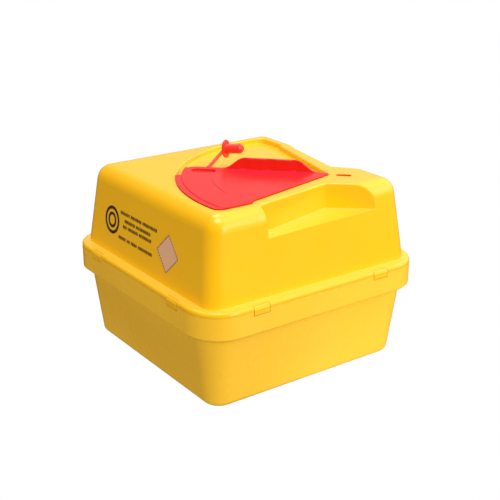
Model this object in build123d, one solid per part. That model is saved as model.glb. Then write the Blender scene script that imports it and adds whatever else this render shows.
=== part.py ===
from build123d import *
import math
import os

# Square waste box for used sharps: a drafted tub with a stepped-out rim, a push-on domed lid with two
# grip notches, and a fan-shaped shutter that swings in a sunk sector of the lid over the drop hole.
# A tethered plug hangs on the shutter. Millimetres, +Z up, origin at the centre of the base.
# The front is -Y. The lid is symmetric about the vertical plane through the corners (-X,+Y) and (+X,-Y).

# Tub
base_width = 206.0
base_corner = 15.5
tub_width = 224.0
tub_height = 70.2
tub_wall = 1.8
base_fillet = 6.0
foot_width = 24.0
foot_lift = 1.6

# Rim band around the top of the tub
rim_overhang = 8.4
rim_corner = 33.0
rim_height = 21.2
rim_chamfer = 1.6

# Lid
lid_wall = 1.8
ledge_width = 10.3
lid_round = 15.2
lid_rise = 75.0
lid_draft = 6.8
flange_height = 4.4
flange_round = 2.4
seat_gap = 0.1
skirt_depth = 7.5
skirt_clearance = 0.4

# Tabs on the lid flange and their windows in the rim
tab_spread = 132.0
tab_width = 16.0
tab_depth = 3.4
tab_proud = 0.4
tab_edge = 0.3
tab_clearance = 0.45
groove_inset = 2.6
groove_width = 0.6
groove_depth = 0.7

# Sunk fan and pivot, placed from the straight edges of the lid's top
pivot_inset = 36.88
fan_margin = 15.0
fan_depth = 4.6
fan_edge = 0.8
apex_from_pivot = 10.8
lip_angle = 12.9
shoulder_from_centre = 50.0
shoulder_step = 3.2
fan_corner = 8.0
land_thickness = 1.8
land_skin = 0.6

# Shutter
open_angle = 46.0
shutter_gap = 0.5
rib_gap = 0.6
slide_gap = 0.2
skin_thickness = 1.3
skin_start = 12.5
skin_inset = 4.8
skin_lap = 0.3
skin_corner = 12.5
skin_edge = 0.6
rib_thickness = 1.6
band_start = 10.5
band_lap = 0.4
band_thickness = 0.7
hub_radius = 22.0
hub_core = 9.0
hub_play = 0.25
neck_length = 6.0
pin_radius = 4.0
pin_running_gap = 0.06
barb_radius = 5.2
barb_height = 5.0
barb_slot = 1.6

# Grip wall on the shutter's trailing edge
grip_height = 10.8
grip_thickness = 2.6
grip_start = 25.0
grip_inset = 44.4
grip_rise_in = 13.5
grip_rise_out = 13.5
grip_bend = 14.0
grip_foot = 6.0
grip_edge = 0.6
flute_pitch = 24.0
flute_radius = 30.0
flute_depth = 0.5

# Parking pocket for the plug's pin, and a fine moulded line on the shutter
pocket_length = 23.0
pocket_width = 11.5
pocket_depth = 2.0
pocket_inset = 24.8
pocket_across = 12.0
line_inset = 31.0
line_width = 0.8
line_depth = 0.25
line_from = 151.5
line_to = 174.0

# Drop hole under the shutter
drop_inner = 48.0
drop_inset = 12.4
drop_from = 150.0
drop_to = 183.0
drop_corner = 8.0
needle_slot = 3.2
needle_reach = 9.0

# Slit over the hub
slit_length = 14.4
slit_width = 6.5
slit_shift = 1.8

# Grip notches in the lid
notch_depth = 24.5
notch_slope = 1.9
notch_lean = 1.3
notch_beside_shoulder = 2.5
notch_land = 14.0
notch_from_pivot = 28.3
notch_back_angle = 10.4
notch_side_angle = 38.8
notch_corner = 3.0
notch_edge = 1.8

# Tether strap and lock plug
strap_width = 3.0
strap_thickness = 1.2
strap_inset = 27.4
strap_root_length = 4.0
strap_root_radius = 0.9
strap_root_gap = 0.06
strap_root_play = 0.3
strap_root_out = 0.3
strap_root_drop = 0.25
plug_inset = 38.3
plug_across = 23.7
plug_rise = 11.55
plug_turn = 11.5
plug_tilt = 6.4
plug_flange_radius = 8.5
plug_flange_thickness = 1.8
plug_flange_chamfer = 0.5
plug_pin_radius = 4.65
plug_pin_length = 16.6
plug_tip_length = 2.4
plug_tip_radius = 2.6

# How far a cutter runs past the face that it cuts
cut_over = 1.0

# Widths that follow
rim_width = tub_width + 2 * rim_overhang
lid_width = rim_width - 2 * ledge_width
lid_top_width = lid_width - 2 * lid_rise * math.tan(math.radians(lid_draft))

# Levels
rim_top = tub_height + rim_height
flange_low = rim_top + seat_gap
ledge = flange_low + flange_height
lid_top = ledge + lid_rise
fan_floor = lid_top - fan_depth
skin_low = lid_top + slide_gap
skin_top = skin_low + skin_thickness
hub_low = fan_floor + slide_gap
land_low = lid_top - land_thickness
hub_top = land_low - hub_play
boss_room = lid_top - land_skin
notch_floor = lid_top - notch_depth

# The pivot stands on the lid's plane of symmetry
pivot_x = lid_top_width / 2 - pivot_inset
pivot_y = -pivot_x
symmetry = Plane(origin=(0, 0, 0), z_dir=(1, 1, 0))
# Local frame at the pivot: x runs along the diagonal into the fan, y across it towards the front
fan_frame = Plane(origin=(pivot_x, pivot_y, 0), x_dir=(-1, 1, 0), z_dir=(0, 0, 1))
# Radii about the pivot that follow the fan's
fan_radius = lid_top_width / 2 + pivot_x - fan_margin
skin_radius = fan_radius - skin_inset
band_radius = fan_radius + band_lap
line_radius = fan_radius - line_inset
drop_outer = fan_radius - drop_inset
grip_end = fan_radius - grip_inset


def rounded(width, corner, z):
    return Plane.XY.offset(z) * RectangleRounded(width, width, corner)


def funnel(low_width, low_corner, low, top_width, high):
    """Square block that widens upwards; its rounded corners widen with it."""
    spread = (top_width - low_width) / 2
    draft = math.degrees(math.atan(spread / (high - low)))
    block = extrude(rounded(top_width, low_corner + spread, 0), high - low, taper=draft)
    return Pos(0, 0, high) * Rot(180, 0, 0) * block


def dome(low_width, low, high, corner):
    """Square block with drafted sides, whose upright and top edges share one rounding."""
    block = extrude(Pos(0, 0, low) * Rectangle(low_width, low_width), high - low, taper=lid_draft)
    base = block.faces().sort_by(Axis.Z)[0].edges()
    return fillet([edge for edge in block.edges() if edge not in base], corner)


def hollow(low_width, low, high, corner):
    """Drafted room for the inside of the dome, with its upright and top edges cut off flat."""
    block = extrude(Pos(0, 0, low) * Rectangle(low_width, low_width), high - low, taper=lid_draft)
    base = block.faces().sort_by(Axis.Z)[0].edges()
    return chamfer([edge for edge in block.edges() if edge not in base], corner * (2 - math.sqrt(2)))


def slab(face, low, high):
    """Extrude a flat outline between two heights."""
    return extrude(Pos(0, 0, low) * face, high - low)


def disc(radius):
    """Circle about the pivot."""
    return Pos(pivot_x, pivot_y) * Circle(radius)


def front_side(behind):
    """Everything in front of a line parallel to the diagonal, a little behind it."""
    reach = 2 * lid_width
    return fan_frame * Pos(0, reach / 2 - behind) * Rectangle(reach, reach)


def save(solid, name):
    export_step(solid, "parts/" + name + ".step")


def eased(block, level, size):
    """Break the block's top edges in three facets that follow a rounding of this size."""
    first = size * math.tan(math.radians(35))
    block = chamfer(block.faces().sort_by(Axis.Z)[-1].edges(), first)
    sharp = [e for e in block.edges() if e.center().Z > level - first - 0.01]
    sharp = [e for e in sharp if abs(e.center().Z - level + first / 2) > first / 4]
    return chamfer(sharp, size - first)


def fan_half(radius):
    """Front half of the sunk fan's outline: straight lip, small shoulder, straight edge and arc."""
    slope = math.tan(math.radians(lip_angle))
    apex = pivot_x - apex_from_pivot / math.sqrt(2)
    shoulder_x = -shoulder_from_centre
    lip_y = -apex + (shoulder_x - apex) * slope
    edge_y = lip_y - shoulder_step
    arc_x = pivot_x - math.sqrt(radius**2 - (edge_y - pivot_y) ** 2)
    crest = radius / math.sqrt(2)
    edge_angle = math.atan2(edge_y - pivot_y, arc_x - pivot_x) % (2 * math.pi)
    middle = (edge_angle + math.radians(135)) / 2
    on_arc = (pivot_x + radius * math.cos(middle), pivot_y + radius * math.sin(middle))
    far = (pivot_x - crest, pivot_y + crest)
    outline = Polyline((apex, -apex), (shoulder_x, lip_y), (shoulder_x, edge_y), (arc_x, edge_y))
    arc = ThreePointArc((arc_x, edge_y), on_arc, far)
    return make_face(outline + arc + Line(far, (apex, -apex)))


def fan_outline(grow=0.0, inset=0.0):
    """Outline of the sunk fan, grown by an offset; an inset makes its arc's radius smaller."""
    radius = fan_radius - inset
    front = fan_half(radius)
    whole = front + mirror(front, about=symmetry)
    ends = [v for v in whole.vertices() if is_arc_end(v, radius) and abs(v.X + v.Y) > radius / 2]
    whole = fillet(ends, fan_corner)
    if grow:
        whole = offset(whole, grow, kind=Kind.INTERSECTION)
    return whole


def is_arc_end(vertex, radius):
    """Whether a corner of an outline lies on an arc about the pivot."""
    return abs(math.hypot(vertex.X - pivot_x, vertex.Y - pivot_y) - radius) < 0.01


def sector(inner, outer, start, end):
    """Ring sector about the pivot between two compass angles in degrees."""
    ring = Circle(outer) - Circle(inner) if inner else Circle(outer)
    reach = 2 * outer
    wedge = make_face(
        Polyline(
            (0, 0),
            (reach * math.cos(math.radians(start)), reach * math.sin(math.radians(start))),
            (reach * math.cos(math.radians(end)), reach * math.sin(math.radians(end))),
            close=True,
        )
    )
    return Pos(pivot_x, pivot_y) * (ring & wedge)


def drop_outline():
    """Sector-shaped drop hole with a tapering needle slot in its trailing side."""
    hole = sector(drop_inner, drop_outer, drop_from, drop_to)
    hole = fillet(hole.vertices(), drop_corner)
    middle = math.radians(drop_from)
    along = (drop_inner + drop_outer) / 2
    slot = Polyline(
        (-needle_slot, -needle_reach / 2),
        (-needle_slot / 2, needle_reach),
        (needle_slot / 2, needle_reach),
        (needle_slot, -needle_reach / 2),
        close=True,
    )
    place = Pos(pivot_x + along * math.cos(middle), pivot_y + along * math.sin(middle))
    return hole + place * Rot(0, 0, drop_from - 180) * make_face(slot)


def notch_outline(grow=0.0):
    """Plan of the front grip notch, open to the front of the lid."""
    reach = lid_width
    slope = math.tan(math.radians(lip_angle))
    side = math.radians(notch_side_angle)
    back = math.tan(math.radians(notch_back_angle))
    apex = pivot_x - apex_from_pivot / math.sqrt(2)
    notch_inner = pivot_x - notch_from_pivot
    notch_left = shoulder_from_centre - notch_beside_shoulder
    inner = (notch_inner, -apex + (notch_inner - apex) * slope - notch_land)
    left = (-notch_left, inner[1] - (notch_inner + notch_left) * back)
    right = (inner[0] + reach * math.cos(side), inner[1] - reach * math.sin(side))
    plan = make_face(Polyline((-notch_left, right[1]), left, inner, right, close=True))
    plan = fillet([v for v in plan.vertices() if v.Y > right[1] / 2], notch_corner)
    if grow:
        plan = offset(plan, grow)
    return plan


def notch_block(grow=0.0):
    """Cutter for the front grip notch, with a floor that falls towards the front and left."""
    block = slab(notch_outline(grow), ledge, lid_top + cut_over)
    fall = -math.tan(math.radians(notch_slope))
    lean = -math.tan(math.radians(notch_lean))
    floor = Plane(origin=(0, -lid_width / 2, notch_floor - grow), z_dir=(lean, fall, 1))
    return split(block, bisect_by=floor, keep=Keep.TOP)


def tab_places():
    """One transform for each snap tab: the tab frame has its outer face towards -Y."""
    for quarter in range(4):
        for side in (-1, 1):
            yield Rot(0, 0, 90 * quarter) * Pos(side * tab_spread / 2, -rim_width / 2, 0)


def container_body():
    outer = funnel(base_width, base_corner, 0, tub_width, tub_height)
    outer = fillet(outer.faces().sort_by(Axis.Z)[0].edges(), base_fillet)
    band = slab(rounded(rim_width, rim_corner, 0), tub_height, rim_top)
    band = chamfer(band.faces().sort_by(Axis.Z)[0].edges(), rim_chamfer)
    inset = 2 * tub_wall
    inner_top = tub_height + tub_wall
    inner = funnel(base_width - inset, base_corner - tub_wall, tub_wall, tub_width - inset, inner_top)
    inner = chamfer(inner.faces().sort_by(Axis.Z)[0].edges(), base_fillet - tub_wall)
    inner_band = rounded(rim_width - inset, rim_corner - tub_wall, 0)
    inner_band = slab(inner_band, inner_top, rim_top + cut_over)
    # Foot: the middle of the floor stands a little higher than its border
    foot = base_width - 2 * foot_width
    lifted = extrude(Rectangle(foot, foot), foot_lift, taper=45)
    floor_pad = extrude(Pos(0, 0, tub_wall) * Rectangle(foot + inset, foot + inset), foot_lift, taper=45)
    body = outer + band - inner - inner_band + floor_pad - lifted
    window_width = tab_width + 2 * tab_clearance
    window_depth = tab_depth + tab_clearance
    window = Box(window_width, 4 * tub_wall, 2 * window_depth)
    for place in tab_places():
        body -= place * Pos(0, 0, rim_top) * window
    return body


def snap_tab():
    """Tab that fills a window of the rim and stands slightly proud of it."""
    thickness = tub_wall + tab_proud
    low = rim_top - tab_depth
    high = ledge - flange_round
    body = Pos(0, thickness / 2 - tab_proud, (high + low) / 2) * Box(tab_width, thickness, high - low)
    front = body.faces().sort_by(Axis.Y)[0]
    return chamfer(front.edges(), tab_edge)


def tab_grooves():
    """Groove on the ledge behind a tab, and a slot through the flange's edge at each of its sides."""
    across = tab_width + 2 * tab_clearance
    cuts = Pos(0, groove_inset, ledge) * Box(across, groove_width, 2 * groove_depth)
    reach = groove_inset + groove_width / 2
    for side in (-1, 1):
        slot = Box(tab_clearance, 2 * reach, 2 * (ledge - flange_low))
        cuts += Pos(side * (tab_width + tab_clearance) / 2, 0, ledge) * slot
    return cuts


def near_outline(edge, outline):
    """Whether an edge's plan lies on a flat outline."""
    points = [edge @ share for share in (0, 0.5, 1)]
    return all(outline.distance_to(Vertex(point.X, point.Y, 0)) < 0.02 for point in points)


def notch_rim(shell, outline):
    """Edges where a notch's walls meet the outside of the lid, from its floor up and round."""
    wire = outline.wires()[0]
    rim = []
    for edge in shell.edges():
        heights = [(edge @ share).Z for share in (0, 0.5, 1)]
        upright = edge.geom_type == GeomType.LINE and max(heights) - min(heights) > notch_corner
        on_floor = max(heights) < notch_floor + 2 * notch_corner
        if near_outline(edge, wire) and not upright and not on_floor:
            rim.append(edge)
    return rim


def lid():
    outer = dome(lid_width, ledge, lid_top, lid_round)
    inner = hollow(lid_width - 2 * lid_wall, ledge, lid_top - lid_wall, lid_round - lid_wall)
    # Pockets that stand into the dome from above, with the lid's own wall around them
    notch = notch_block()
    notch_wall = notch_block(lid_wall)
    hub_room = hub_radius + shutter_gap
    fan_cut = slab(fan_outline(), fan_floor, lid_top + cut_over)
    fan_wall = slab(fan_outline(lid_wall), fan_floor - lid_wall, lid_top + cut_over)
    hub_cut = slab(disc(hub_room), fan_floor, land_low)
    hub_cut += slab(disc(hub_core + shutter_gap), fan_floor, boss_room)
    hub_wall = slab(disc(hub_room + lid_wall), fan_floor - lid_wall, lid_top)
    void = inner - fan_wall - notch_wall - mirror(notch_wall, about=symmetry) - hub_wall
    shell = outer - notch - mirror(notch, about=symmetry)
    outline = notch_outline()
    rim = notch_rim(shell, outline) + notch_rim(shell, mirror(outline, about=symmetry))
    shell = fillet(rim, notch_edge)
    shell = shell - fan_cut
    wire = fan_outline().wires()[0]
    brink = [e for e in shell.edges() if (e @ 0.5).Z > lid_top - 0.01 and near_outline(e, wire)]
    shell = chamfer(brink, fan_edge)
    shell = shell - void - hub_cut
    slit = fan_frame * Pos(-slit_shift, 0) * SlotOverall(slit_length, slit_width)
    shell -= slab(slit, land_low, lid_top + cut_over)
    holes = drop_outline() + disc(pin_radius + pin_running_gap)
    shell -= slab(holes, fan_floor - lid_wall - cut_over, fan_floor + cut_over)
    # Flange that seats on the rim, with a locating skirt inside it
    flange = slab(rounded(rim_width, rim_corner, 0), flange_low, ledge)
    flange = eased(flange, ledge, flange_round)
    skirt_width = rim_width - 2 * tub_wall - 2 * skirt_clearance
    skirt_corner = rim_corner - tub_wall - skirt_clearance
    skirt = slab(rounded(skirt_width, skirt_corner, 0), flange_low - skirt_depth, flange_low)
    room = rounded(skirt_width - 2 * lid_wall, skirt_corner - lid_wall, 0)
    opening = inner.faces().sort_by(Axis.Z)[0]
    flange = flange + skirt - slab(room, flange_low - skirt_depth, ledge - lid_wall)
    flange -= extrude(opening, flange_low - ledge, dir=(0, 0, 1))
    shell = shell + flange
    for place in tab_places():
        shell -= place * tab_grooves()
        shell += place * snap_tab()
    return shell


def skin_outline():
    """Outline of the closed shutter's skin, which laps over the fan's edge in front of the diagonal."""
    whole = fan_outline(skin_lap, skin_inset + skin_lap) & front_side(shutter_gap)
    return whole - disc(skin_start)


def swept_plan():
    """The part of the fan that a rib below the lid's top keeps to, closed and open."""
    fan = fan_outline(-rib_gap, skin_inset - shutter_gap)
    turned = Pos(pivot_x, pivot_y) * Rot(0, 0, open_angle) * Pos(-pivot_x, -pivot_y) * fan
    return fan & turned & front_side(shutter_gap)


def grip_wall():
    """Upright wall with a flat top, swept shoulders at both ends and shallow finger flutes."""
    base = skin_low
    foot = skin_top
    top = skin_top + grip_height
    outline = Polyline(
        (grip_start - grip_foot, base),
        (grip_end + grip_foot, base),
        (grip_end + grip_foot, foot),
        (grip_end, foot),
        (grip_end - grip_rise_out, top),
        (grip_start + grip_rise_in, top),
        (grip_start, foot),
        (grip_start - grip_foot, foot),
        close=True,
    )
    face = make_face(outline)
    bends = [v for v in face.vertices() if v.Y > foot - 0.01 and grip_start - 1 < v.X < grip_end + 1]
    face = fillet(bends, grip_bend)
    upright = Plane(origin=(pivot_x, pivot_y, 0), x_dir=(-1, 1, 0), z_dir=(1, 1, 0))
    behind = Pos(shutter_gap / math.sqrt(2), shutter_gap / math.sqrt(2), 0)
    wall = behind * extrude(upright * face, -grip_thickness)
    rim = [e for e in wall.edges() if e.center().Z > foot + 0.5 and e.length > grip_thickness + 0.1]
    wall = chamfer(rim, grip_edge)
    flute = Cylinder(flute_radius, grip_height, align=(Align.CENTER, Align.CENTER, Align.MIN))
    across = grip_thickness - shutter_gap + flute_radius - flute_depth
    middle = (grip_start + grip_end) / 2
    for step in (-1, 0, 1):
        wall -= fan_frame * Pos(middle + step * flute_pitch, across, foot + grip_edge) * flute
    return wall


def snap_pin():
    """Pivot pin below the hub, with a split barb that holds under the lid's fan floor."""
    under = fan_floor - lid_wall - slide_gap
    profile = Polyline(
        (0, hub_low),
        (pin_radius, hub_low),
        (pin_radius, under),
        (barb_radius, under),
        (barb_radius, under - barb_height / 4),
        (pin_radius - 1, under - barb_height),
        (0, under - barb_height),
        close=True,
    )
    pin = revolve(Plane.XZ * make_face(profile), Axis.Z)
    pin = Pos(pivot_x, pivot_y, 0) * pin
    slot = Box(barb_slot, 4 * barb_radius, barb_height + lid_wall)
    return pin - Pos(pivot_x, pivot_y, under - barb_height + (barb_height + lid_wall) / 2) * slot


def shutter():
    swept = swept_plan()
    # Top skin, which slides over the lid's top
    outline = skin_outline()
    back = [v for v in outline.vertices() if is_arc_end(v, skin_radius) and v.X + v.Y > 0]
    skin = slab(fillet(back, skin_corner), skin_low, skin_top)
    skin = chamfer(skin.faces().sort_by(Axis.Z)[-1].edges(), skin_edge)
    # Hub that turns under the land, its boss below the slit, and the neck that joins it to the skin
    hub = slab(disc(hub_core) + (disc(hub_radius) & front_side(shutter_gap)), hub_low, hub_top)
    hub += slab(disc(hub_core), hub_low, boss_room - hub_play)
    neck = slab((disc(hub_radius + neck_length) - disc(hub_core)) & swept, hub_low, skin_low)
    # Ribs turned down to the fan floor along the edges
    inside = offset(swept, -rib_thickness)
    rib = slab(swept - inside - disc(hub_radius), hub_low, skin_low)
    # Lower band along the arc, which laps over the fan's edge
    ring = sector(skin_radius - rib_thickness, band_radius, 135 + band_start, 225)
    ring = ring & fan_outline(band_lap) & front_side(shutter_gap)
    band = slab(ring, skin_low, skin_low + band_thickness)
    pocket = Pos(fan_radius - pocket_inset, pocket_across) * SlotOverall(pocket_length, pocket_width)
    pocket = fan_frame * pocket
    pocket_floor = skin_top - pocket_depth
    boss = slab(offset(pocket, rib_thickness), pocket_floor - skin_thickness, skin_low)
    whole = skin + neck + hub + rib + band + boss + snap_pin() + grip_wall()
    whole -= slab(pocket, pocket_floor, skin_top + cut_over)
    groove = sector(line_radius - line_width / 2, line_radius + line_width / 2, line_from, line_to)
    whole -= slab(groove, skin_top - line_depth, skin_top + cut_over)
    return whole - strap_root(strap_root_radius + strap_root_gap, strap_root_length + 2 * strap_root_play)


def strap_root(radius, length):
    """Round bar on the strap's hinge line, along the shutter's back edge."""
    across = shutter_gap + strap_root_out
    along = fan_radius - strap_inset
    centre = fan_frame.from_local_coords((along, -across, skin_top - strap_root_drop))
    return Plane(origin=centre, x_dir=(0, 0, 1), z_dir=(-1, 1, 0)) * Cylinder(radius, length)


def plug_frame():
    """Frame at the back of the plug's flange: z runs along the pin, roughly towards the pivot."""
    along = fan_radius - plug_inset
    origin = fan_frame.from_local_coords((along, -plug_across, skin_top + plug_rise))
    heading = math.radians(-45 - plug_turn)
    tilt = math.radians(plug_tilt)
    level = math.cos(tilt)
    pin_dir = (level * math.cos(heading), level * math.sin(heading), math.sin(tilt))
    return Plane(origin=origin, x_dir=(-math.sin(heading), math.cos(heading), 0), z_dir=pin_dir)


def lock_plug():
    tip = plug_flange_thickness + plug_pin_length
    shoulder = tip - plug_tip_length
    outline = Polyline(
        (0, 0),
        (plug_flange_radius - plug_flange_chamfer, 0),
        (plug_flange_radius, plug_flange_chamfer),
        (plug_flange_radius, plug_flange_thickness),
        (plug_pin_radius, plug_flange_thickness),
        (plug_pin_radius, shoulder),
        (plug_tip_radius, tip),
        (0, tip),
        close=True,
    )
    return plug_frame() * revolve(Plane.XZ * make_face(outline), Axis.Z)


def tether_strap():
    """Straight flexible strap from its round root on the shutter to the back of the plug's flange."""
    root = strap_root(strap_root_radius, strap_root_length)
    start = root.center()
    run = plug_frame().origin - start
    section = Plane(origin=start, x_dir=(-1, 1, 0), z_dir=run) * Rectangle(strap_width, strap_thickness)
    bar = extrude(section, run.length + plug_flange_thickness)
    return root + bar - lock_plug()


os.makedirs("parts", exist_ok=True)
save(container_body(), "container_body")
save(lid(), "lid")
save(shutter(), "shutter")
save(lock_plug(), "lock_plug")
save(tether_strap(), "tether_strap")
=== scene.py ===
"""Looks of the square sharps box: moulded plastics, a generic print and soft studio light."""

import math

import bpy
from mathutils import Matrix, Vector


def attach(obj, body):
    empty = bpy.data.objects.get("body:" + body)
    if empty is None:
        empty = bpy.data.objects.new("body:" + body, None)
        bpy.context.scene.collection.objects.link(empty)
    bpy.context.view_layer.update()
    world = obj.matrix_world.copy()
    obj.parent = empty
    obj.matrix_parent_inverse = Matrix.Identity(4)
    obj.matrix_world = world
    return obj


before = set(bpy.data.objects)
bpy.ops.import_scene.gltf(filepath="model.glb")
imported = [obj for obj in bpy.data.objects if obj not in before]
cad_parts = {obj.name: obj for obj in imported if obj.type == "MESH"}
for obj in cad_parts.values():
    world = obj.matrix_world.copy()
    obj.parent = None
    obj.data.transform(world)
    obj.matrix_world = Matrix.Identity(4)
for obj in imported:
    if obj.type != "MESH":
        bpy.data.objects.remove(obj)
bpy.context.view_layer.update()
MM = 0.001

# ---------------------------------------------------------------- camera

# The camera as fitted to the photograph: degrees, metres, pixels
CAMERA_AZIMUTH = -35.97
CAMERA_ELEVATION = 20.91
CAMERA_ROLL = 0.26
CAMERA_DISTANCE = 0.9449
CAMERA_TARGET = Vector((0.00498, -0.00479, 0.0925))
CAMERA_NEAR = 0.01
FOCAL_PIXELS = 994.87
FRAME_PIXELS = 500
SENSOR_MM = 36.0


def add_camera():
    azimuth = math.radians(CAMERA_AZIMUTH)
    elevation = math.radians(CAMERA_ELEVATION)
    level = math.cos(elevation)
    back = Vector((math.sin(azimuth) * level, -math.cos(azimuth) * level, math.sin(elevation)))
    data = bpy.data.cameras.new("camera")
    data.sensor_fit = "HORIZONTAL"
    data.sensor_width = SENSOR_MM
    data.lens = FOCAL_PIXELS / FRAME_PIXELS * SENSOR_MM
    data.clip_start = CAMERA_NEAR
    camera = bpy.data.objects.new("camera", data)
    aim = back.to_track_quat("Z", "Y").to_matrix().to_4x4()
    roll = Matrix.Rotation(math.radians(CAMERA_ROLL), 4, "Z")
    camera.matrix_world = Matrix.Translation(CAMERA_TARGET + back * CAMERA_DISTANCE) @ aim @ roll
    bpy.context.scene.collection.objects.link(camera)
    bpy.context.scene.camera = camera


# ---------------------------------------------------------------- shader nodes

# Cosine of the angle between the rounded and the face's own normal: flat, fully an edge
EDGE_RANGE = (0.995, 0.86)
EDGE_SAMPLES = 4
# Ambient occlusion: in the open, fully sheltered
SHELTER_RANGE = (0.95, 0.35)
SHELTER_SAMPLES = 6
# Upward part of the normal: a wall, a level floor
LEVEL_RANGE = (0.35, 0.9)
# Sockets of the Mix node that hold colours
MIX_FIRST = 6
MIX_SECOND = 7
MIX_RESULT = 2


class Shader:
    """A material with a Principled shader and short helpers for its texture nodes."""

    def __init__(self, name):
        self.material = bpy.data.materials.new(name)
        self.material.use_nodes = True
        self.tree = self.material.node_tree
        self.surface = self.tree.nodes["Principled BSDF"]
        self.place = self.tree.nodes.new("ShaderNodeTexCoord").outputs["Object"]

    def node(self, kind, **settings):
        """A node whose inputs or properties are set by name."""
        made = self.tree.nodes.new(kind)
        for key, value in settings.items():
            if key in made.inputs:
                made.inputs[key].default_value = value
            else:
                setattr(made, key, value)
        return made

    def link(self, source, target):
        self.tree.links.new(source, target)

    def stretched(self, scale):
        """Object coordinates with a scale of their own along each axis."""
        mapping = self.node("ShaderNodeMapping")
        mapping.inputs["Scale"].default_value = scale
        self.link(self.place, mapping.inputs["Vector"])
        return mapping.outputs["Vector"]

    def noise(self, scale, detail=3.0, rough=0.5, stretch=None):
        made = self.node("ShaderNodeTexNoise", Scale=scale, Detail=detail, Roughness=rough)
        self.link(self.stretched(stretch) if stretch else self.place, made.inputs["Vector"])
        return made.outputs["Fac"]

    def spread(self, value, low, high, out_low=0.0, out_high=1.0):
        """Map the range from low to high onto out_low to out_high, held at both ends."""
        made = self.node("ShaderNodeMapRange")
        made.inputs["From Min"].default_value = low
        made.inputs["From Max"].default_value = high
        made.inputs["To Min"].default_value = out_low
        made.inputs["To Max"].default_value = out_high
        self.link(value, made.inputs["Value"])
        return made.outputs["Result"]

    def math(self, operation, first, second):
        made = self.node("ShaderNodeMath", operation=operation)
        for value, socket in ((first, made.inputs[0]), (second, made.inputs[1])):
            if isinstance(value, float):
                socket.default_value = value
            else:
                self.link(value, socket)
        return made.outputs[0]

    def blend(self, factor, first, second):
        """Mix two colours, each a tuple or an output."""
        made = self.node("ShaderNodeMix", data_type="RGBA")
        self.link(factor, made.inputs[0])
        for value, socket in ((first, made.inputs[MIX_FIRST]), (second, made.inputs[MIX_SECOND])):
            if isinstance(value, tuple):
                socket.default_value = (*value, 1.0)
            else:
                self.link(value, socket)
        return made.outputs[MIX_RESULT]

    def rounded_edges(self, radius):
        """Normal that rounds the moulding's crisp edges."""
        made = self.node("ShaderNodeBevel", samples=EDGE_SAMPLES)
        made.inputs["Radius"].default_value = radius
        return made.outputs["Normal"]

    def edge_mask(self, rounded):
        """How far the rounded normal turns away from the face's own, from 0 to about 1 at an edge."""
        true_normal = self.node("ShaderNodeNewGeometry").outputs["True Normal"]
        dot = self.node("ShaderNodeVectorMath", operation="DOT_PRODUCT")
        self.link(rounded, dot.inputs[0])
        self.link(true_normal, dot.inputs[1])
        return self.spread(dot.outputs["Value"], *EDGE_RANGE)

    def shelter(self, reach):
        """How enclosed a place is by walls within reach, from 0 in the open to about 1 in a corner."""
        made = self.node("ShaderNodeAmbientOcclusion", samples=SHELTER_SAMPLES, only_local=True)
        made.inputs["Distance"].default_value = reach
        return self.spread(made.outputs["AO"], *SHELTER_RANGE)

    def upward(self):
        """How far a place faces up, from 0 on a wall to 1 on a level floor."""
        parts = self.node("ShaderNodeSeparateXYZ")
        self.link(self.node("ShaderNodeNewGeometry").outputs["True Normal"], parts.inputs[0])
        return self.spread(parts.outputs["Z"], *LEVEL_RANGE)

    def bump(self, height, distance, below=None):
        made = self.node("ShaderNodeBump", Strength=1.0, Distance=distance)
        self.link(height, made.inputs["Height"])
        if below is not None:
            self.link(below, made.inputs["Normal"])
        return made.outputs["Normal"]


# ---------------------------------------------------------------- plastics

# Noise scales, in features to a metre
FLOW_SCALE = 7.0
SPECK_SCALE = 900.0
EDGE_NOISE_SCALE = 170.0
PATCH_SCALE = 30.0
WAVE_SCALE = 20.0
PEEL_SCALE = 620.0
# Flow marks run level, and scratches run upright
FLOW_STRETCH = (1.0, 1.0, 2.2)
SCRATCH_STRETCH = (700.0, 700.0, 24.0)
# Part of each noise's range over which it takes hold
FLOW_RANGE = (0.35, 0.7)
SPECK_RANGE = (0.45, 0.8)
EDGE_NOISE_RANGE = (0.42, 0.68)
PATCH_RANGE = (0.3, 0.75)
SCRATCH_RANGE = (0.6, 0.8)
# How much each one changes the tone or the roughness
SPECK_DEPTH = 0.12
PATCH_SMOOTHER = 0.03
PATCH_ROUGHER = 0.04
SCRATCH_ROUGHER = 0.07
# Relief of the surface and how far shelter reaches, in metres
WAVE_RELIEF = 0.00008
PEEL_RELIEF = 0.000010
SHELTER_REACH = 0.035

LID_YELLOW = (0.93, 0.490, 0.005)
TUB_YELLOW = (0.95, 0.540, 0.026)
SHUTTER_RED = (0.72, 0.016, 0.015)
PLUG_RED = (0.82, 0.040, 0.026)
# Each node's tone, roughness, specular level, radius of its rounded edges and wear on them, which also
# paints a highlight there
FINISHES = {
    "lid": (LID_YELLOW, 0.20, 0.5, 0.0007, 0.5),
    "container_body": (TUB_YELLOW, 0.27, 0.5, 0.0006, 0.5),
    "shutter": (SHUTTER_RED, 0.24, 0.22, 0.0004, 0.35),
    "tether_strap": (PLUG_RED, 0.32, 0.2, 0.0003, 0.3),
    "lock_plug": (PLUG_RED, 0.28, 0.5, 0.0004, 0.35),
}
# What the tone's red, green and blue are multiplied by
# Painted glow: places in shelter are painted lighter, standing in for light through the thin walls
PAINTED_GLOW_GAIN = (1.05, 1.20, 0.5)
# Painted sheen: level places in shelter are painted paler, standing in for a highlight
PAINTED_SHEEN_GAIN = (1.05, 1.30, 1.0)
DEEP_GAIN = (0.97, 0.94, 0.85)
# Paler edges: partly rubbing, partly a painted highlight
RUB_AND_HIGHLIGHT_GAIN = 1.04
# What is added to it
# Lift of the painted sheen
PAINTED_SHEEN_LIFT = 0.08
RUB_AND_HIGHLIGHT_LIFT = 0.09
# Brightest that a derived tone may be
RED_LIMIT = 0.98
GREEN_LIMIT = 0.95
RUB_AND_HIGHLIGHT_LIMIT = 0.97


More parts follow.
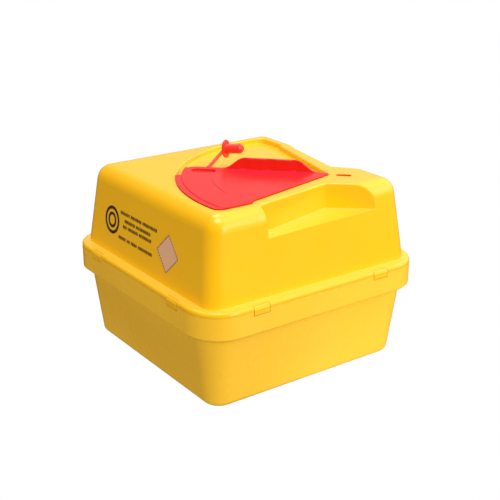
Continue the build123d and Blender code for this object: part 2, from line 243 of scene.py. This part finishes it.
def gained(tone, gains):
    """A tone with each channel multiplied by its own gain."""
    return tuple(channel * gain for channel, gain in zip(tone, gains))


def painted_glow(tone):
    """Painted glow: the same plastic made lighter, standing in for light that comes through it."""
    red, green, blue = gained(tone, PAINTED_GLOW_GAIN)
    return (min(RED_LIMIT, red), min(GREEN_LIMIT, green), blue)


def painted_sheen(tone):
    """Painted sheen: the same plastic made paler, standing in for a highlight on level places in shelter.
    """
    red, green, blue = gained(tone, PAINTED_SHEEN_GAIN)
    return (min(RED_LIMIT, red), min(GREEN_LIMIT, green), blue + PAINTED_SHEEN_LIFT)


def deeper(tone):
    """The same plastic where it is a little denser."""
    return gained(tone, DEEP_GAIN)


def paler(tone):
    """The same plastic made paler at edges, partly by rubbing and partly as a painted highlight."""
    return tuple(min(RUB_AND_HIGHLIGHT_LIMIT, channel * RUB_AND_HIGHLIGHT_GAIN + RUB_AND_HIGHLIGHT_LIFT) for channel in tone)


def moulded_plastic(name, tone, roughness, gloss, edge, wear_and_highlight):
    """Injection-moulded polypropylene: flow marks, orange peel, upright scratches, edges paler from
    rubbing and a painted highlight.

    Places in shelter are painted lighter: a painted glow that stands in for light coming through the thin
    walls, and a painted sheen that makes level places in shelter paler.
    """
    shader = Shader(name)
    flow = shader.noise(FLOW_SCALE, detail=2.0, stretch=FLOW_STRETCH)
    colour = shader.blend(shader.spread(flow, *FLOW_RANGE), deeper(tone), tone)
    speck = shader.noise(SPECK_SCALE, detail=2.0)
    colour = shader.blend(shader.spread(speck, *SPECK_RANGE, 0.0, SPECK_DEPTH), colour, deeper(tone))
    # Painted light: places in shelter are painted lighter, with a glow on walls and a paler sheen on
    # level floors
    painted_glow_and_sheen = shader.blend(shader.upward(), painted_glow(tone), painted_sheen(tone))
    colour = shader.blend(shader.shelter(SHELTER_REACH), colour, painted_glow_and_sheen)
    rounded = shader.rounded_edges(edge)
    # Edges painted paler: partly rubbing, partly a painted highlight on the rounded edges
    edge_noise = shader.noise(EDGE_NOISE_SCALE, detail=4.0, rough=0.65)
    rubbed_and_highlit = shader.spread(edge_noise, *EDGE_NOISE_RANGE, 0.0, wear_and_highlight)
    worn_and_highlit = shader.math("MULTIPLY", shader.edge_mask(rounded), rubbed_and_highlit)
    colour = shader.blend(worn_and_highlit, colour, paler(tone))
    shader.link(colour, shader.surface.inputs["Base Color"])
    patch = shader.noise(PATCH_SCALE, detail=3.0)
    smoothest = roughness - PATCH_SMOOTHER
    roughest = roughness + PATCH_ROUGHER
    rough = shader.spread(patch, *PATCH_RANGE, smoothest, roughest)
    scratch = shader.noise(1.0, detail=3.0, rough=0.7, stretch=SCRATCH_STRETCH)
    rough = shader.math("ADD", rough, shader.spread(scratch, *SCRATCH_RANGE, 0.0, SCRATCH_ROUGHER))
    shader.link(rough, shader.surface.inputs["Roughness"])
    wave = shader.bump(shader.noise(WAVE_SCALE, detail=1.0), WAVE_RELIEF, below=rounded)
    peel = shader.bump(shader.noise(PEEL_SCALE, detail=2.0), PEEL_RELIEF, below=wave)
    shader.link(peel, shader.surface.inputs["Normal"])
    shader.surface.inputs["Specular IOR Level"].default_value = gloss
    return shader.material


def dress_cad():
    """Give each CAD node its own plastic."""
    for node, finish in FINISHES.items():
        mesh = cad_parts[node].data
        mesh.materials.clear()
        mesh.materials.append(moulded_plastic(node + "_plastic", *finish))


# ---------------------------------------------------------------- print on the left face of the lid

# Places on the face are (across, height) in millimetres; across grows towards the near corner
INK_LIFT = 0.06 * MM
LABEL_LIFT = 0.03 * MM
# The face leans inwards from the foot of the lid's wall, at this height and distance out
FACE_FOOT = 95.9 * MM
FACE_OUT = 110.1 * MM
FACE_DRAFT = math.radians(6.8)

# Tone, tone where it is worn, roughness, greatest share of the worn tone
PRINT_INK = ((0.035, 0.022, 0.008), (0.30, 0.15, 0.01), 0.45, 0.5)
LABEL_FILM = ((0.78, 0.43, 0.25), (0.83, 0.50, 0.31), 0.40, 0.6)
BORDER_INK = ((0.10, 0.035, 0.02), (0.45, 0.20, 0.10), 0.45, 0.5)
# Noise scales in features to a metre, the ranges over which they take hold, and the relief in metres
GRAIN_SCALE = 1400.0
GRAIN_RANGE = (0.55, 0.8)
FILM_SCALE = 220.0
FILM_RANGE = (0.3, 0.7)
FILM_UNEVEN = 0.06
PRINT_RELIEF = 0.00001

RING_ACROSS = -58.5
RING_HEIGHT = 127.5
# Outer and inner radius of each ring
RING_RADII = ((13.0, 10.0), (7.4, 4.6))
RING_STEPS = 72

GLYPH_WIDTHS = (1.9, 1.5, 1.8, 1.1, 1.7, 1.9, 0.8, 1.6)
GLYPH_HEIGHT = 3.0
GLYPH_GAP = 0.55
WORD_GAP = 2.3
# Start and height of each line, and how many blocks are in each of its groups
PRINT_LINES = (
    (-44.0, 138.6, (8, 9, 12)),
    (-36.0, 132.2, (9, 12)),
    (-38.0, 126.6, (3, 9, 10)),
    (-45.0, 115.2, (6, 3, 5, 12)),
)

LABEL_ACROSS = 39.0
LABEL_HEIGHT = 124.0
LABEL_HALF = 17.6
BORDER_WIDTH = 1.5
# Dashes along each side, and the share of the side that they fill
BORDER_DASHES = 9
BORDER_FILLED = 0.62


def printed(name, tone, worn_tone, roughness, holes):
    """Screen-printed ink or a printed label: slightly uneven cover, a matt film."""
    shader = Shader(name)
    grain = shader.noise(GRAIN_SCALE, detail=3.0, rough=0.6)
    colour = shader.blend(shader.spread(grain, *GRAIN_RANGE, 0.0, holes), tone, worn_tone)
    shader.link(colour, shader.surface.inputs["Base Color"])
    film = shader.noise(FILM_SCALE, detail=2.0)
    rough = shader.spread(film, *FILM_RANGE, roughness - FILM_UNEVEN, roughness + FILM_UNEVEN)
    shader.link(rough, shader.surface.inputs["Roughness"])
    shader.link(shader.bump(grain, PRINT_RELIEF), shader.surface.inputs["Normal"])
    return shader.material


def on_left_face(across, height, lift):
    """Point on the lid's drafted left face, lifted off it."""
    out = FACE_OUT - (height * MM - FACE_FOOT) * math.tan(FACE_DRAFT)
    x = -out - lift * math.cos(FACE_DRAFT)
    z = height * MM + lift * math.sin(FACE_DRAFT)
    return (x, -across * MM, z)


def print_piece(name, patches, lift, material):
    """One flat printed piece from patches, each a list of places on the face."""
    points = []
    faces = []
    for patch in patches:
        faces.append(tuple(range(len(points), len(points) + len(patch))))
        points.extend(on_left_face(across, height, lift) for across, height in patch)
    mesh = bpy.data.meshes.new(name)
    mesh.from_pydata(points, [], faces)
    mesh.materials.append(material)
    piece = bpy.data.objects.new(name, mesh)
    bpy.context.scene.collection.objects.link(piece)
    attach(piece, "lid")


def ring(outer, inner):
    """Patches of a flat ring."""
    patches = []
    for step in range(RING_STEPS):
        start, end = (2 * math.pi * (step + more) / RING_STEPS for more in (0, 1))
        patch = []
        for turn, radius in ((start, inner), (start, outer), (end, outer), (end, inner)):
            place = (RING_ACROSS + radius * math.cos(turn), RING_HEIGHT + radius * math.sin(turn))
            patch.append(place)
        patches.append(patch)
    return patches


def blank_line(start, height, words):
    """A line of plain blocks in place of lettering; words gives the blocks in each group."""
    patches = []
    across = start
    count = 0
    for word in words:
        for _ in range(word):
            width = GLYPH_WIDTHS[count % len(GLYPH_WIDTHS)]
            corners = ((0, 0), (width, 0), (width, GLYPH_HEIGHT), (0, GLYPH_HEIGHT))
            patches.append([(across + x, height + z - GLYPH_HEIGHT / 2) for x, z in corners])
            across += width + GLYPH_GAP
            count += 1
        across += WORD_GAP - GLYPH_GAP
    return patches


def label_border():
    """Dashes along the four sides of the square label, which stands on its corner."""
    patches = []
    inside = LABEL_HALF - BORDER_WIDTH
    for quarter in range(4):
        turn = math.pi / 2 * quarter
        ends = [(math.cos(turn + more), math.sin(turn + more)) for more in (0, math.pi / 2)]
        for dash in range(BORDER_DASHES):
            first = (dash + (1 - BORDER_FILLED) / 2) / BORDER_DASHES
            last = (dash + (1 + BORDER_FILLED) / 2) / BORDER_DASHES
            patch = []
            for share, size in ((first, inside), (first, LABEL_HALF), (last, LABEL_HALF), (last, inside)):
                x = (ends[0][0] * (1 - share) + ends[1][0] * share) * size
                z = (ends[0][1] * (1 - share) + ends[1][1] * share) * size
                patch.append((LABEL_ACROSS + x, LABEL_HEIGHT + z))
            patches.append(patch)
    return patches


def print_on_lid():
    ink = printed("print_ink", *PRINT_INK)
    film = printed("label_film", *LABEL_FILM)
    border = printed("border_ink", *BORDER_INK)
    rings = [patch for outer, inner in RING_RADII for patch in ring(outer, inner)]
    print_piece("print_ring", rings, INK_LIFT, ink)
    lines = [patch for line in PRINT_LINES for patch in blank_line(*line)]
    print_piece("print_lines", lines, INK_LIFT, ink)
    corners = [(0, -LABEL_HALF), (LABEL_HALF, 0), (0, LABEL_HALF), (-LABEL_HALF, 0)]
    label = [[(LABEL_ACROSS + x, LABEL_HEIGHT + z) for x, z in corners]]
    print_piece("label_film", label, LABEL_LIFT, film)
    print_piece("label_border", label_border(), INK_LIFT, border)


# ---------------------------------------------------------------- studio

WHITE = (1.0, 1.0, 1.0)
WARM = (1.0, 0.95, 0.84)

FLOOR_HALF = 6.0
FLOOR_DROP = 0.0002
# The floor's light on the box, and how bright it is in reflections
FLOOR_BOUNCE = 1.2
FLOOR_GLEAM = 0.06
# The floor's light on the box fades towards the box's left: from x, to x, its share at each
FLOOR_SHADE = (-0.15, 0.06, 0.40, 1.03)

# Soft lobes of the room's light: towards, how tight, how bright
ROOM_LOBES = (
    ((0.0, 0.0, 1.0), 3, 0.54),
    ((0.7, -0.7, 0.3), 4, 0.53),
    ((1.0, 0.0, 0.3), 4, 0.68),
    ((0.55, 0.76, 0.36), 8, 0.34),
    ((-0.1, 1.0, 0.35), 4, 0.12),
    ((0.7, -0.1, 0.7), 5, 1.33),
)
# Large soft boxes: name, towards, strength, colour, whether they show in reflections
SOFT_BOXES = (
    ("top_box", (-0.08, -0.12, 1.0), 1.32, WHITE, True),
    ("front_box", (0.2, -0.9, 0.45), 0.80, WHITE, True),
    ("low_front_box", (0.1, -1.0, 0.12), 0.35, WHITE, True),
    ("right_front_box", (0.6, -0.65, 0.45), 0.32, WHITE, True),
    ("back_box", (0.2, 0.5, 0.85), 0.69, WHITE, True),
    ("left_box", (-0.8, -0.5, 0.45), 1.44, WARM, False),
)
# Angle that each soft box fills, in degrees
SOFT_BOX_SPREAD = 30.0


def white_for_camera(tree, others):
    """Shader of a white sweep: the camera sees plain white, other rays see the given shader."""
    seen = tree.nodes.new("ShaderNodeEmission")
    mix = tree.nodes.new("ShaderNodeMixShader")
    path = tree.nodes.new("ShaderNodeLightPath")
    tree.links.new(path.outputs["Is Camera Ray"], mix.inputs[0])
    tree.links.new(others, mix.inputs[1])
    tree.links.new(seen.outputs[0], mix.inputs[2])
    return mix.outputs[0], path


def add_floor():
    """White sweep that takes no shadow; it lights the box from below and is dark in reflections."""
    mesh = bpy.data.meshes.new("floor")
    sides = [(-1, -1), (1, -1), (1, 1), (-1, 1)]
    corners = [(x * FLOOR_HALF, y * FLOOR_HALF, -FLOOR_DROP) for x, y in sides]
    mesh.from_pydata(corners, [], [(0, 1, 2, 3)])
    floor = bpy.data.objects.new("floor", mesh)
    bpy.context.scene.collection.objects.link(floor)
    material = bpy.data.materials.new("floor_white")
    material.use_nodes = True
    material.cycles.emission_sampling = "NONE"
    tree = material.node_tree
    tree.nodes.clear()
    place = tree.nodes.new("ShaderNodeSeparateXYZ")
    tree.links.new(tree.nodes.new("ShaderNodeTexCoord").outputs["Object"], place.inputs[0])
    shade = tree.nodes.new("ShaderNodeMapRange")
    shade.interpolation_type = "SMOOTHSTEP"
    for key, value in zip(("From Min", "From Max", "To Min", "To Max"), FLOOR_SHADE):
        shade.inputs[key].default_value = value
    tree.links.new(place.outputs["X"], shade.inputs["Value"])
    bounce = tree.nodes.new("ShaderNodeEmission")
    bounce.inputs["Strength"].default_value = FLOOR_BOUNCE
    tree.links.new(shade.outputs["Result"], bounce.inputs["Color"])
    gleam = tree.nodes.new("ShaderNodeEmission")
    gleam.inputs["Strength"].default_value = FLOOR_GLEAM
    split = tree.nodes.new("ShaderNodeMixShader")
    tree.links.new(bounce.outputs[0], split.inputs[1])
    tree.links.new(gleam.outputs[0], split.inputs[2])
    shown, path = white_for_camera(tree, split.outputs[0])
    tree.links.new(path.outputs["Is Glossy Ray"], split.inputs[0])
    out = tree.nodes.new("ShaderNodeOutputMaterial")
    tree.links.new(shown, out.inputs[0])
    mesh.materials.append(material)


def calculated(tree, operation, source, number):
    """Math node that works on a linked value and a number."""
    made = tree.nodes.new("ShaderNodeMath")
    made.operation = operation
    made.inputs[1].default_value = number
    tree.links.new(source, made.inputs[0])
    return made


def add_world():
    """Room whose brightness is the sum of the lobes, each a power of the cosine to its direction."""
    world = bpy.data.worlds.new("room")
    bpy.context.scene.world = world
    world.use_nodes = True
    tree = world.node_tree
    direction = tree.nodes.new("ShaderNodeTexCoord").outputs["Generated"]
    total = None
    for towards, tightness, strength in ROOM_LOBES:
        dot = tree.nodes.new("ShaderNodeVectorMath")
        dot.operation = "DOT_PRODUCT"
        dot.inputs[1].default_value = Vector(towards).normalized()
        tree.links.new(direction, dot.inputs[0])
        facing = calculated(tree, "MAXIMUM", dot.outputs["Value"], 0.0)
        lobe = calculated(tree, "POWER", facing.outputs[0], tightness)
        add = calculated(tree, "MULTIPLY_ADD", lobe.outputs[0], strength)
        add.inputs[2].default_value = 0.0
        if total is not None:
            tree.links.new(total, add.inputs[2])
        total = add.outputs[0]
    room = tree.nodes["Background"]
    room.inputs["Color"].default_value = (*WHITE, 1.0)
    tree.links.new(total, room.inputs["Strength"])
    shown, _ = white_for_camera(tree, room.outputs[0])
    tree.links.new(shown, tree.nodes["World Output"].inputs["Surface"])


def add_soft_boxes():
    """Suns that fill a wide angle, so that their shadows are soft."""
    for name, towards, strength, colour, shows in SOFT_BOXES:
        data = bpy.data.lights.new(name, "SUN")
        data.energy = strength
        data.color = colour
        data.angle = math.radians(SOFT_BOX_SPREAD)
        light = bpy.data.objects.new(name, data)
        light.rotation_euler = Vector(towards).to_track_quat("Z", "Y").to_euler()
        light.visible_glossy = shows
        bpy.context.scene.collection.objects.link(light)


add_camera()
dress_cad()
print_on_lid()
add_floor()
add_world()
add_soft_boxes()
bpy.context.scene.view_settings.view_transform = "Standard"
